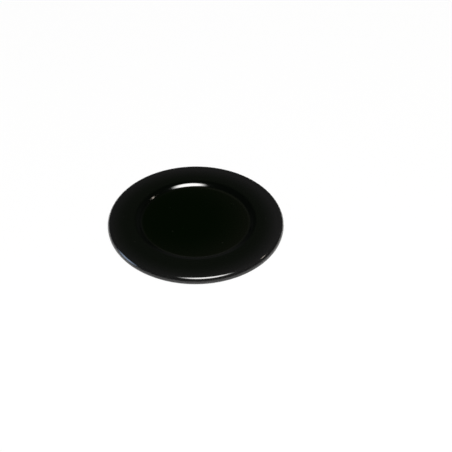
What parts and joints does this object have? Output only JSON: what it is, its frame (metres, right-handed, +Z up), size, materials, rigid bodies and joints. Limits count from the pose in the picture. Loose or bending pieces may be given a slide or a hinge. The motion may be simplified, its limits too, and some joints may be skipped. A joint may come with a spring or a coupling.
{
  "type": "gas burner cap",
  "caption": "Round enamelled steel cap that rests on a gas burner head and spreads the flame: crowned ring round a shallow dish, with a turned-down rounded rim.",
  "frame": {"origin": "middle of the foot of the rim, on the surface that the cap stands on", "axes": "+Z up along the axis of revolution, through the dish side; X and Y are free, as the cap is round"},
  "size_m": [0.1, 0.1, 0.005],
  "materials": {
    "black_enamel": "gloss black vitreous enamel fired on pressed steel"
  },
  "bodies": {
    "root": {"burner_cap": "black_enamel"}
  },
  "joints": []
}
